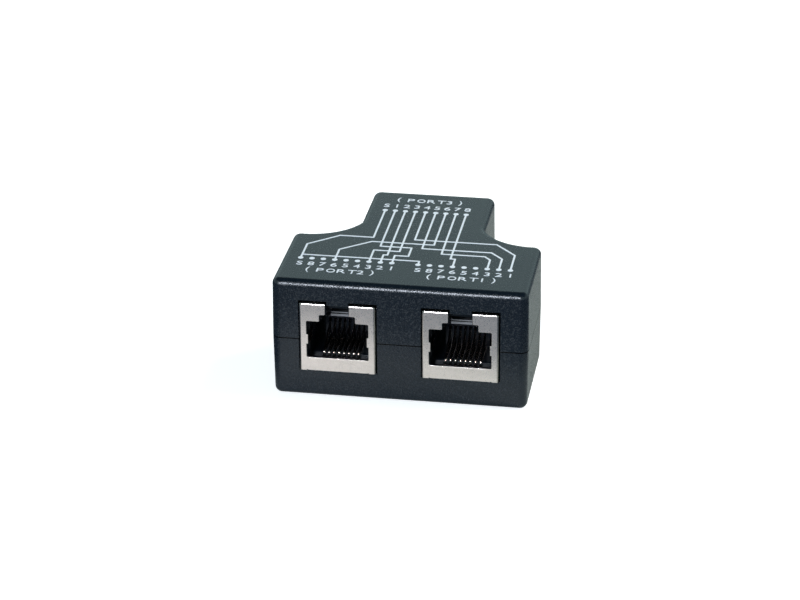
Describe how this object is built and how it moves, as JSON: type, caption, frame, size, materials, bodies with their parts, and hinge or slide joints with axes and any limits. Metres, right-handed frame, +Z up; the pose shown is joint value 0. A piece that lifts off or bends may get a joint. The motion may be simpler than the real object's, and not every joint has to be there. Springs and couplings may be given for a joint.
{
  "type": "rj45 splitter adapter",
  "caption": "Network splitter adapter: a wide black block with two shielded sockets in front, a narrower neck with a third socket behind, and a printed pin diagram on the roof.",
  "frame": {"origin": "middle of the underside of the casing", "axes": "+X across the two front sockets, towards port 1; -Y out of the front sockets; +Z up through the roof"},
  "size_m": [0.0516, 0.0494, 0.0255],
  "materials": {
    "casing": "fine satin grain, moulded",
    "insulator": "smooth moulded",
    "shield": "satin nickel plate",
    "contact": "gold plate",
    "board": "solder resist",
    "solder": "bright solder",
    "ink": "matt screen ink"
  },
  "bodies": {
    "root": {"bottom_shell": "casing", "circuit_board": "board", "port1_housing": "insulator", "port1_contact_carrier": "insulator", "port1_contact_1": "contact", "port1_contact_2": "contact", "port1_contact_3": "contact", "port1_contact_4": "contact", "port1_contact_5": "contact", "port1_contact_6": "contact", "port1_contact_7": "contact", "port1_contact_8": "contact", "port1_shield": "shield", "port1_solder": "solder", "port2_housing": "insulator", "port2_contact_carrier": "insulator", "port2_contact_1": "contact", "port2_contact_2": "contact", "port2_contact_3": "contact", "port2_contact_4": "contact", "port2_contact_5": "contact", "port2_contact_6": "contact", "port2_contact_7": "contact", "port2_contact_8": "contact", "port2_shield": "shield", "port2_solder": "solder", "port3_housing": "insulator", "port3_contact_carrier": "insulator", "port3_contact_1": "contact", "port3_contact_2": "contact", "port3_contact_3": "contact", "port3_contact_4": "contact", "port3_contact_5": "contact", "port3_contact_6": "contact", "port3_contact_7": "contact", "port3_contact_8": "contact", "port3_shield": "shield", "port3_solder": "solder", "top_shell": "casing", "pin_diagram_print": "ink"}
  },
  "joints": []
}
